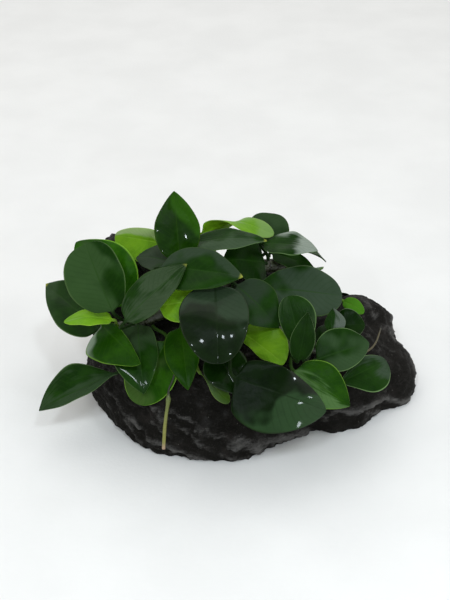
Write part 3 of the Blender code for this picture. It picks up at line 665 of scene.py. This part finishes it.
LEAVES = {  # foot, tip, face, width, stem, at, and what isn't usual
    # the left end
    1: Leaf(
        spot(180, 262, 80), spot(174, 191, 115), (5, 20), 23, "main", 60, "mid",
        fold=8, arch=-3.5, wet=0.4, shade=0.42, painted_sheen=(0.4, 0.5, 0.8),
        sheen_colour=(0.024, 0.090, 0.003),
    ),
    2: Leaf(
        spot(168, 245, 74.5), spot(115, 236, 82), (-8, 50), 18, "main", 40, "lime",
        point=0.4, halves=(1.45, 0.7), painted_sheen=(0.1, 1.2, 0), sheen_colour=(0.24, 0.34, 0.13),
    ),
    3: Leaf(
        spot(113, 312, 70.5), spot(86, 244, 97.5), (-10, 35), 29, "main", 20,
        belly=0.52, base=0.42, point=0.3, fold=6, halves=(1.12, 0.9), slack=0.12,
        painted_sheen=(0.7, -0.5, 0.1), sheen_colour=(0.028, 0.065, 0.017), margin=1.5,
    ),
    4: Leaf(
        spot(126, 306, 60), spot(76, 242, 88), (-10, 40), 34, "main", 26, "mid",
        belly=0.5, base=0.45, point=0.72, halves=(0.62, 1.1), margin=1.5, painted_sheen=(0.1, 0.2, 0.5),
        sheen_colour=(0.045, 0.082, 0.030),
    ),
    5: Leaf(
        spot(101, 330, 50.5), spot(46, 284, 57.5), (-15, 45), 28, "main", 6,
        fold=4, halves=(0.9, 1.0), painted_sheen=(0.3, 0.1, 0.4), wet=0.2, margin=1.8, yellow_tip=0.9,
    ),
    6: Leaf(
        spot(113, 320, 64), spot(64, 322, 64), (0, 95), 16, "main", 14, "lime",
        point=0.6, fold=4, slack=0.15, shade=1.25,
    ),
    7: Leaf(
        spot(102, 325, 56.4), spot(140, 364, 52.5), (-5, 48), 26, "main", 9, "mid",
        belly=0.27, base=1.6, point=0.62, fold=5, halves=(0.4, 1.2), slack=0.1, shade=0.6,
        margin=1.6, painted_sheen=(-0.45, 0.8, -0.6), sheen_colour=(0.20, 0.25, 0.19),
    ),
    8: Leaf(
        spot(117, 373, 40), spot(39, 411, 22), (-20, 60), 24, "main", 3,
        belly=0.5, base=1.3, fold=6, halves=(0.42, 1.2), painted_sheen=(0.5, -0.15, 0), creased=0.8,
        sheen_colour=(0.026, 0.052, 0.020), margin=1.8,
    ),
    # the top
    9: Leaf(
        spot(160, 268, 86.5), spot(243, 277, 91), (5, 62), 25, "main", 48,
        fold=6, painted_sheen=(0.4, -0.45, 0.15), sheen_colour=(0.026, 0.046, 0.024), yellow_tip=0.8,
    ),
    10: Leaf(
        spot(125, 322, 72), spot(187, 264, 92), (-25, 60), 22, "main", 29,
        fold=6, halves=(1.0, 0.85), painted_sheen=(0.6, 0.1, 0.2), sheen_colour=(0.035, 0.060, 0.027),
        creased=1.0, yellow_tip=0.6,
    ),
    11: Leaf(
        spot(178, 264, 76), spot(136, 258, 76), (0, 75), 20, "main", 54,
        painted_sheen=(0.7, 0, 0), sheen_colour=(0.030, 0.045, 0.026),
    ),
    12: Leaf(
        spot(215, 284, 85), spot(218, 364, 63), (3, 55), 33, "main", 64,
        point=0.38, arch=5, fold=4, halves=(0.92, 1.06), crest=0.6, wet=0.45, shade=0.3,
        painted_sheen=(0.2, -0.4, -1.1), sheen_colour=(0.022, 0.041, 0.020),
    ),
    13: Leaf(
        spot(158, 306, 72), spot(214, 300, 72), (0, 45), 20, "main", 44, "lime",
        slack=0.3, shade=1.3,
    ),
    14: Leaf(
        spot(236, 285, 80.5), spot(279, 328, 63), (15, 50), 23, "main", 74,
        painted_sheen=(0.5, 0, -0.4), sheen_colour=(0.020, 0.036, 0.018),
    ),
    15: Leaf(
        spot(238, 330, 56), spot(284, 364, 51.5), (0, 50), 24, "main", 80, "lime",
        belly=0.55, point=0.5, fold=4, halves=(1.05, 0.4), ruffle=1.6, shade=0.9,
    ),
    # the right front
    16: Leaf(
        spot(234, 377, 55.5), spot(326, 411, 38), (-10, 47), 34, "main", 79,
        belly=0.36, base=0.45, point=0.65, fold=3, arch=3.5, halves=(0.72, 1.2), slack=0.15,
        wet=0.8, dry=0.45, painted_sheen=(0.4, 0.9, 1.4), sheen_colour=(0.020, 0.048, 0.016), shade=0.25,
    ),
    17: Leaf(
        spot(294, 371, 47.5), spot(350, 406, 36), (10, 50), 24, "main", 107, "mid",
        slack=0.25, margin=1.6, painted_sheen=(0.5, 0.7, -0.1), sheen_colour=(0.065, 0.135, 0.040),
        creased=0.9, shade=0.6,
    ),
    18: Leaf(
        spot(316, 360, 50), spot(369, 343, 52), (10, 50), 24, "main", 121,
        point=0.65, fold=5, halves=(1.0, 0.8), painted_sheen=(0.5, 0.2, 0.1),
        sheen_colour=(0.029, 0.061, 0.022), margin=2.0,
    ),
    19: Leaf(
        spot(340, 383, 38), spot(386, 361, 38), (10, 55), 21, "main", 125,
        belly=0.55, base=0.8, point=0.5, fold=7, halves=(0.65, 1.2), painted_sheen=(0.4, -0.4, 0.5),
        sheen_colour=(0.034, 0.058, 0.032), creased=0.7, margin=2.6,
    ),
    20: Leaf(
        spot(334, 326, 47), spot(365, 325, 48), (10, 50), 17, "main", 126,
        point=0.6, shade=0.6, margin=2.4,
    ),
    21: Leaf(
        spot(334, 334, 56.3), spot(333, 308, 66.3), (20, 50), 11, "main", 127,
        painted_sheen=(0.5, 0.7, 0), sheen_colour=(0.10, 0.125, 0.098), creased=1.0,
    ),
    22: Leaf(
        spot(343, 301, 50), spot(364, 313, 46), (0, 50), 8, "branch", 50, "lime",
        point=0.5, painted_sheen=(1.0, 0, 0), sheen_colour=(0.050, 0.17, 0.008), shade=0.5,
    ),
    23: Leaf(
        spot(256, 290, 69), spot(342, 296, 63), (5, 65), 30, "branch", 22,
        belly=0.55, point=0.45, fold=4, painted_sheen=(0.7, 0.15, 0.4), sheen_colour=(0.032, 0.055, 0.031),
        margin=1.4,
    ),
    24: Leaf(
        spot(304, 362, 50), spot(288, 296, 75.8), (0, 30), 21, "main", 115,
        belly=0.66, point=0.45, halves=(0.68, 1.05), slack=0.2, painted_sheen=(0.3, -0.1, 0), creased=0.8,
        margin=2.0,
    ),
    25: Leaf(
        spot(298, 361, 56), spot(308, 312, 76), (0, 30), 12, "main", 103,
        slack=0.15, shade=0.7, creased=1.0, margin=1.9,
    ),
    # the right back
    26: Leaf(
        spot(201, 234, 78.5), spot(274, 234, 85), (0, 113), 20, "branch", 12, "lime",
        base=0.45, point=0.5, arch=6, fold=4, twist=-100, painted_sheen=(-0.1, 0, 1.0),
        sheen_colour=(0.15, 0.26, 0.07),
    ),
    27: Leaf(
        spot(192, 243, 84), spot(267, 241, 90.5), (0, 84), 20, "branch", 4,
        fold=5, halves=(0.85, 1.0), painted_sheen=(0.5, 0.3, 0.1), sheen_colour=(0.042, 0.072, 0.036),
        creased=0.5, margin=2.0, yellow_tip=0.8,
    ),
    28: Leaf(
        spot(266, 250, 69), spot(270, 213, 86), (0, 40), 22, "branch", 32,
        belly=0.55, point=0.3, fold=4, painted_sheen=(0.75, 0, 0),
    ),
    29: Leaf(
        spot(264, 244, 82), spot(318, 251, 84), (0, 85), 20, "branch", 36,
        fold=4, painted_sheen=(0.4, -0.2, 0.5), sheen_colour=(0.22, 0.26, 0.215), creased=0.5, margin=2.0,
    ),
    30: Leaf(spot(298, 251, 71), spot(326, 262, 65), (0, 110), 12, "branch", 48),
    31: Leaf(
        spot(272, 253, 71), spot(317, 272, 63), (10, 70), 14, "branch", 38,
        base=0.45, halves=(0.75, 1.0), margin=1.8,
    ),
    32: Leaf(
        spot(265, 263, 70.6), spot(222, 261, 77), (0, 60), 29, "branch", 34,
        base=0.4, halves=(1.0, 1.05), shade=0.9,
    ),
    # the front
    33: Leaf(
        spot(138, 324, 57.5), spot(144, 394, 37.5), (-5, 50), 22, "main", 17,
        belly=0.45, base=0.35, fold=6, halves=(0.82, 1.25), wet=0.25, dry=0.5,
        painted_sheen=(0.35, 0, -0.8), shade=1.2, margin=1.3,
    ),
    34: Leaf(
        spot(166, 341, 52.5), spot(137, 404, 27), (0, 50), 26, "main", 30, "mid",
        belly=0.5, point=0.5, fold=2, shade=0.75, margin=1.8, painted_sheen=(0.5, 0.4, 0.2),
        sheen_colour=(0.042, 0.088, 0.016),
    ),
    35: Leaf(
        spot(181, 327, 60), spot(188, 390, 43), (0, 45), 18, "main", 50, "mid",
        base=0.45, fold=7, halves=(0.85, 1.05), shade=0.55,
    ),
    36: Leaf(
        spot(200, 373, 45), spot(229, 403, 34), (0, 50), 7, "main", 62, "lime",
        belly=0.66, base=1.2, point=0.5, slack=0.25, shade=0.35, margin=1.6, painted_sheen=(0.7, 0, 0),
        sheen_colour=(0.07, 0.12, 0.045),
    ),
    37: Leaf(spot(215, 350, 55), spot(240, 395, 41), (0, 50), 22, "main", 70, wet=0.5, shade=0.5),
    38: Leaf(spot(318, 345, 52), spot(328, 325, 54), (0, 50), 8, "main", 115, slack=0.6, shade=0.6),
    # the side away from the viewer
    39: Leaf(Vector((-26, 26, 66)), Vector((-38, 58, 54)), (180, 60), 26, "branch", 6),
    40: Leaf(Vector((-9, 30, 59)), Vector((-18, 62, 41)), (180, 55), 26, "branch", 16, fold=4, arch=1),
    41: Leaf(Vector((9, 32, 57)), Vector((14, 64, 38)), (180, 50), 25, "branch", 34, wet=0.5),
    42: Leaf(Vector((25, 34, 51)), Vector((34, 60, 33)), (170, 50), 24, "branch", 51, "mid"),
    43: Leaf(Vector((40, 31, 41)), Vector((54, 46, 22)), (150, 50), 20, "branch", 66, slack=0.3),
    44: Leaf(Vector((-39, 20, 67)), Vector((-46, 46, 67)), (180, 80), 18, "main", 50, "mid"),
    45: Leaf(Vector((-95, 6, 47)), Vector((-104, 32, 42)), (200, 80), 15, "main", 8),
}

TONES = {  # blade, its lighter patches, midrib and side veins, margin, stalk
    "dark": (
        (0.0045, 0.023, 0.0010), (0.009, 0.038, 0.0018), (0.016, 0.050, 0.006),
        (0.040, 0.080, 0.018), (0.008, 0.020, 0.004),
    ),
    "mid": (
        (0.012, 0.062, 0.0010), (0.027, 0.11, 0.0018), (0.040, 0.13, 0.005),
        (0.12, 0.26, 0.012), (0.018, 0.042, 0.006),
    ),
    "lime": (
        (0.095, 0.23, 0.0075), (0.14, 0.30, 0.010), (0.19, 0.36, 0.028),
        (0.30, 0.46, 0.07), (0.12, 0.20, 0.03),
    ),
}
YELLOWED = (0.30, 0.33, 0.05)
BLADE_GRAIN, BLADE_CLOUDS, SHEEN_CLOUDS = 0.8, 9.0, 13.0
DENTS, WAVES = 3.0, 7.5  # sizes of the small and the wide unevenness
SHEEN_BREAKING, CREASE_BREAKING = 1.6, 1.2  # how far clouds and creases break the painted sheen up
SHEEN_EDGE = (0.32, 0.68)
MIDRIB, MARGIN, END = (0.055, 0.02), (0.94, 0.99), (0.95, 0.99)  # where each starts and is full
LEAF_BUMP = 0.25
LEAF_GLOSS = {"Specular IOR Level": 0.05, "Coat Roughness": 0.06, "Coat IOR": 1.33}
SKIN_SHIFT, CREASE_SHIFT = 400, 40  # how far the noise is moved at most, so that no two are alike


def outline(leaf, t):
    """The blade's half-width at t of its length, as a share of its greatest."""
    place = np.clip(t, 0, 1) ** (math.log(0.5) / math.log(leaf.belly))
    power = np.where(place < 0.5, leaf.base, leaf.point)
    return np.clip(np.sin(math.pi * place), 0, 1) ** power


def axes_of(leaf):
    """The blade's direction from foot to tip, its right side and its upper side."""
    ahead = (leaf.tip - leaf.foot).normalized()
    turn, up = (math.radians(angle) for angle in leaf.face)
    looks = Vector((math.sin(turn) * math.cos(up), -math.cos(turn) * math.cos(up), math.sin(up)))
    top = (looks - ahead * looks.dot(ahead)).normalized()
    return ahead, ahead.cross(top), top


def blade_axes(leaf, t):
    """The blade's right side and upper side at t of its length, with its twist."""
    _, side, top = (np.array(axis) for axis in axes_of(leaf))
    turned = math.radians(leaf.twist) * (t - 0.5)
    right = side * math.cos(turned) + top * math.sin(turned)
    return right, top * math.cos(turned) - side * math.sin(turned)


def blade_middle(leaf, t):
    """The point of the midrib at t of the blade's length."""
    _, upper = blade_axes(leaf, t)
    bend = t ** (math.log(0.5) / math.log(leaf.crest))
    return np.array(leaf.foot.lerp(leaf.tip, t)) + upper * (leaf.arch * 4 * bend * (1 - bend))


def waves(leaf, t, u, phases):
    """How much a point of the blade stands above its plain folded form."""
    half = np.abs(u)
    size = leaf.width / USUAL_WIDTH
    crown = CROWN * size * (1 - (2 * half - 1) ** 2)
    turns = 2 * math.pi * (RUFFLES * t + phases[0]) + np.sign(u) * phases[1]
    ruffle = leaf.ruffle * size * half**3 * np.sin(turns)
    sway = SWAY * size * np.sin(2 * math.pi * (SWAYS[0] * t + SWAYS[1] * u + phases[2]))
    vein = np.cos(2 * math.pi * (t * VEINS - half * VEIN_SLANT)) * half * (1 - half) * 4
    groove = GROOVE_DEPTH * np.exp(-((u / GROOVE_WIDTH) ** 2)) * (1 - GROOVE_FADING * t)
    return (crown + ruffle + sway + VEIN_HEIGHT * vein) * math.sin(math.pi * t) ** 0.5 - groove


def round_ring(middle, right, upper, radius):
    """A round ring's points, over the top from left to right and back below."""
    count = 2 * (len(ACROSS) - 1)
    turns = math.pi * (1 - 2 * np.arange(count)[:, None] / count)
    return middle + radius * (np.cos(turns) * np.array(right) + np.sin(turns) * np.array(upper))


def blade_ring(leaf, t, phases):
    """A ring round the blade: over it from left to right, and back below."""
    right, upper = blade_axes(leaf, t)
    u = np.concatenate((ACROSS, ACROSS[-2:0:-1]))
    below = np.arange(len(u)) >= len(ACROSS)
    half = np.where(u < 0, leaf.halves[0], leaf.halves[1])
    reach = leaf.width / 2 * half * outline(leaf, t) * u
    fold = math.radians(leaf.fold)
    # the halves meet in a soft valley
    valley = (np.hypot(u, VALLEY) - VALLEY) * np.abs(reach / np.where(u == 0, 1, u))
    slope = fold * u / np.hypot(u, VALLEY)
    out = reach[:, None] * math.cos(fold) * right + (valley * math.sin(fold))[:, None] * upper
    skin = np.cos(slope)[:, None] * upper - np.sin(slope)[:, None] * right
    thick = BLADE_THICKNESS / 2 * np.sqrt(np.clip(1 - np.abs(u) ** 6, 0, 1))
    rib = (STALK_RADIUS - thick) * (1 - t) * np.exp(-((u / RIB_WIDTH) ** 2))
    lift = waves(leaf, t, u, phases) + np.where(below, -thick - rib, thick)
    flat = blade_middle(leaf, t) + out + skin * lift[:, None]
    # near its base the blade closes up into the round stalk
    stalk = round_ring(blade_middle(leaf, t), right, upper, STALK_RADIUS)
    opened = min(1, t / OPENING)
    opened = opened * opened * (3 - 2 * opened)
    notes = np.stack((u, np.full(len(u), t), below.astype(float)), axis=1)
    return flat * opened + stalk * (1 - opened), notes


def curve_at(t, start, rise, bend, end):
    """A point of the curve that leaves start for rise and comes to end from bend, and its way."""
    rest = 1 - t
    place = start * rest**3 + rise * (3 * t * rest**2) + bend * (3 * t**2 * rest) + end * t**3
    way = (rise - start) * rest**2 + (bend - rise) * (2 * t * rest) + (end - bend) * t**2
    return place, way.normalized()


def stalk_rings(leaf):
    """Round rings up the stalk's curve, from the stem to the blade, each with its notes.

    They are worked out from the blade down, so that no ring is turned against the next.
    """
    ahead, right, _ = axes_of(leaf)
    start, run = along(STEM_LAYS[leaf.stem], leaf.at)
    away = leaf.foot - start
    away = (away - run * away.dot(run)).normalized()
    start += away * (STEM_RADIUS + STALK_GAP)
    reach = (leaf.foot - start).length * leaf.slack
    curve = (start, start + away * reach * STALK_SPRING, leaf.foot - ahead * reach, leaf.foot)
    rings = []
    for k in reversed(range(STALK_RINGS)):
        t = k / STALK_RINGS
        place, run = curve_at(t, *curve)
        right = (right - run * run.dot(right)).normalized()
        upper = right.cross(run)
        swell = STALK_RADIUS * (1 + STALK_FOOT * (1 - t) ** 4)
        ring = round_ring(np.array(place), right, upper, swell)
        rings.insert(0, (ring, np.tile((0.0, t - 1, 0.0), (len(ring), 1))))
    return rings


def leaf_skin(name, leaf):
    """Wet, leathery leaf: a sunk midrib, faint side veins, a pale margin, a paler underside."""
    made, shader, place = material(name + "_tissue")
    *tones, stalk_colour = TONES[leaf.tone]
    blade, patch, rib, edge = (tuple(leaf.shade * part for part in tone) for tone in tones)
    shifted = place.shift(tuple(RANDOM.uniform(0, SKIN_SHIFT, 3)))
    note = place.note("leaf")
    across, t, below = note.parts()
    half = abs(across)
    vein = peaks(t * VEINS - half * VEIN_SLANT).ramp(0.6, 1.0)
    vein = vein * half.ramp(0.03, 0.2) * half.ramp(1.0, 0.7)
    crease = note.stretch(7.0, 1.6, 0).shift(tuple(RANDOM.uniform(0, CREASE_SHIFT, 3)))
    crease = crease.cloud(1.0, 4, 0.6)
    cloudy = shifted.cloud(BLADE_CLOUDS, 4, 0.55)
    grain = shifted.cloud(BLADE_GRAIN, 3)
    # painted sheen: lighter, greyer or whitish patches that stand in for light and reflections on the
    # blade
    middle, right, tip = leaf.painted_sheen
    painted_sheen = middle + right * across + tip * (2 * t - 1)
    painted_sheen = painted_sheen + SHEEN_BREAKING * (shifted.cloud(SHEEN_CLOUDS, 1.6, 0.45) - 0.5)
    painted_sheen = (painted_sheen + leaf.creased * CREASE_BREAKING * (crease - 0.5)).ramp(*SHEEN_EDGE)
    painted_sheen = painted_sheen * (0.65 + 0.6 * cloudy)
    colour = cloudy.ramp(0.35, 0.7).mix(blade, patch)
    colour = (vein * 0.2).mix(colour, rib)
    colour = (grain.ramp(0.5, 0.8) * 0.12).mix(colour, rib)
    colour = painted_sheen.mix(colour, leaf.sheen_colour)
    colour = (vein * 0.16).mix(colour, blade)
    midrib = (half / (1.25 - t)).ramp(*MIDRIB)
    colour = (midrib * 0.5).mix(colour, rib)
    edge = tuple(leaf.margin * part + 0.03 * (leaf.margin - 1) for part in edge)
    colour = (half.ramp(*MARGIN) * min(1, 0.55 * leaf.margin)).mix(colour, edge)
    colour = (t.ramp(*END) * leaf.yellow_tip).mix(colour, YELLOWED)
    stalk = t.ramp(0.05, -0.03)
    colour = (stalk * 0.85).mix(colour, stalk_colour)
    colour = (below * 0.6 * (1 - stalk)).mix(colour, tuple(2.0 * part for part in patch))
    rough = 0.27 + cloudy * 0.12 + grain * 0.04 + painted_sheen * 0.25 + below * 0.2
    relief = shifted.cloud(DENTS, 2) * 0.35 + shifted.cloud(WAVES, 2) * 1.6 - vein * 0.04
    relief = relief + grain * 0.08 + crease * (2.2 * leaf.creased)
    wet = (1 - below) * (1 - 0.6 * painted_sheen) * t.ramp(leaf.dry, leaf.dry + 0.1) * leaf.wet
    look = {"Base Color": colour, "Roughness": rough, "Coat Weight": wet}
    finish(shader, place, look | LEAF_GLOSS, relief, LEAF_BUMP)
    return made


def build_leaf(number, leaf):
    node = f"leaf_{number:02d}"
    phases = RANDOM.uniform(0, 1, 3)
    steps = (1 - np.cos(np.linspace(0, math.pi, BLADE_RINGS))) / 2
    rings = stalk_rings(leaf) + [blade_ring(leaf, t, phases) for t in steps[:-1]]
    verts = np.concatenate([ring for ring, _ in rings])
    notes = np.concatenate([note for _, note in rings])
    around = len(rings[0][0])
    tip = len(verts)
    verts = np.vstack((verts, blade_middle(leaf, 1.0)))
    notes = np.vstack((notes, (0.0, 1.0, 0.0)))
    faces = [tuple(range(around))]
    for low in range(0, tip - around, around):
        for k in range(around):
            before = (k - 1) % around
            faces.append((low + k, low + before, low + around + before, low + around + k))
    faces += [(tip - around + k, tip - around + (k - 1) % around, tip) for k in range(around)]
    add_piece(node, verts, faces, "leaf_" + leaf.tone, leaf_skin(node, leaf), {"leaf": notes})


for number, leaf in LEAVES.items():
    build_leaf(number, leaf)

# ---------------------------------------------------------------------------------------- Floor
# A wide, plain sheet of pale board, faintly mottled, on which the stone stands by its own
# weight. It belongs to the picture and not to the object.

FLOOR_SIZE = 6000.0
FLOOR_PATCHES, FLOOR_GRAIN, FLOOR_BUMP = 60.0, 2.0, 0.1
FLOOR_PALE, FLOOR_PALER = (0.76, 0.765, 0.75), (0.80, 0.805, 0.79)


def build_floor():
    made, shader, place = material("pale_floor")
    colour = place.cloud(FLOOR_PATCHES, 4).ramp(0.3, 0.7).mix(FLOOR_PALE, FLOOR_PALER)
    look = {"Base Color": colour, "Roughness": 0.6}
    finish(shader, place, look, place.cloud(FLOOR_GRAIN, 3), FLOOR_BUMP)
    bpy.ops.mesh.primitive_plane_add(size=FLOOR_SIZE * MM)
    floor = bpy.context.object
    floor.name = "floor"
    floor.data.materials.append(made)


build_floor()

# ---------------------------------------------------------------------------- Light and camera
# Soft daylight falls from above and behind at the left, in a pale room. Four small bright
# windows glint on the wet blades: two above the viewer, one behind, and one at the right. The
# camera stands at the viewpoint and looks down at 35 degrees.

SKY_COLOUR, WINDOW_COLOUR = (1.0, 0.99, 0.98), (0.85, 0.93, 1.0)
LIGHTS = {  # place, size, power in watts, colour
    "sky": ((-260, 420, 900), (1100, 900), 1.65, SKY_COLOUR),
    "window_left": ((-190, -620, 800), (85, 105), 2.0, WINDOW_COLOUR),
    "window_right": ((150, -560, 860), (75, 90), 1.6, WINDOW_COLOUR),
    "window_side": ((700, -530, 480), (80, 70), 1.25, WINDOW_COLOUR),
    "window_low": ((10, -875, 363), (50, 40), 0.8, WINDOW_COLOUR),
}
ROOM_BRIGHT, ROOM_DIM = (1.05, 1.04, 1.03), (0.33, 0.33, 0.33)
DIM_HEIGHT = math.radians(38)
DIM_SIDE = (0.0, -math.cos(DIM_HEIGHT), math.sin(DIM_HEIGHT))  # the viewer's side of the room
DIM_EDGE = (0.58, 0.74)  # cosines of the angles from it at which the room is bright, and dim
SENSOR_HEIGHT = 36.0


def build_lights():
    for name, (place, size, power, colour) in LIGHTS.items():
        lamp = bpy.data.lights.new(name, "AREA")
        lamp.shape = "RECTANGLE"
        lamp.size, lamp.size_y = (side * MM for side in size)
        lamp.energy = power
        lamp.color = colour
        held = bpy.data.objects.new(name, lamp)
        held.location = Vector(place) * MM
        held.rotation_euler = (VIEW_AIM - Vector(place)).to_track_quat("-Z", "Y").to_euler()
        bpy.context.scene.collection.objects.link(held)


def build_room():
    """A pale room that is dim on the viewer's side only."""
    world = bpy.data.worlds.new("room")
    world.use_nodes = True
    tree = world.node_tree
    way = Wire(tree).node("TexCoord", out="Generated")
    dim = way.node("VectorMath", {0: way, 1: DIM_SIDE}, out="Value", operation="DOT_PRODUCT")
    colour = dim.ramp(*DIM_EDGE).mix(ROOM_BRIGHT, ROOM_DIM)
    way.feed(tree.nodes["Background"].inputs["Color"], colour)
    bpy.context.scene.world = world
    bpy.context.scene.view_settings.view_transform = "Standard"


def build_camera():
    camera = bpy.data.objects.new("camera", bpy.data.cameras.new("camera"))
    camera.data.sensor_fit = "VERTICAL"
    camera.data.sensor_height = SENSOR_HEIGHT
    camera.data.lens = SENSOR_HEIGHT * VIEW_FOCUS / (2 * VIEW_MIDDLE[1])
    camera.data.clip_start = 10 * MM
    camera.location = EYE * MM
    camera.rotation_euler = (math.pi / 2 - VIEW_TILT, 0, 0)
    bpy.context.scene.collection.objects.link(camera)
    bpy.context.scene.camera = camera


build_lights()
build_room()
build_camera()
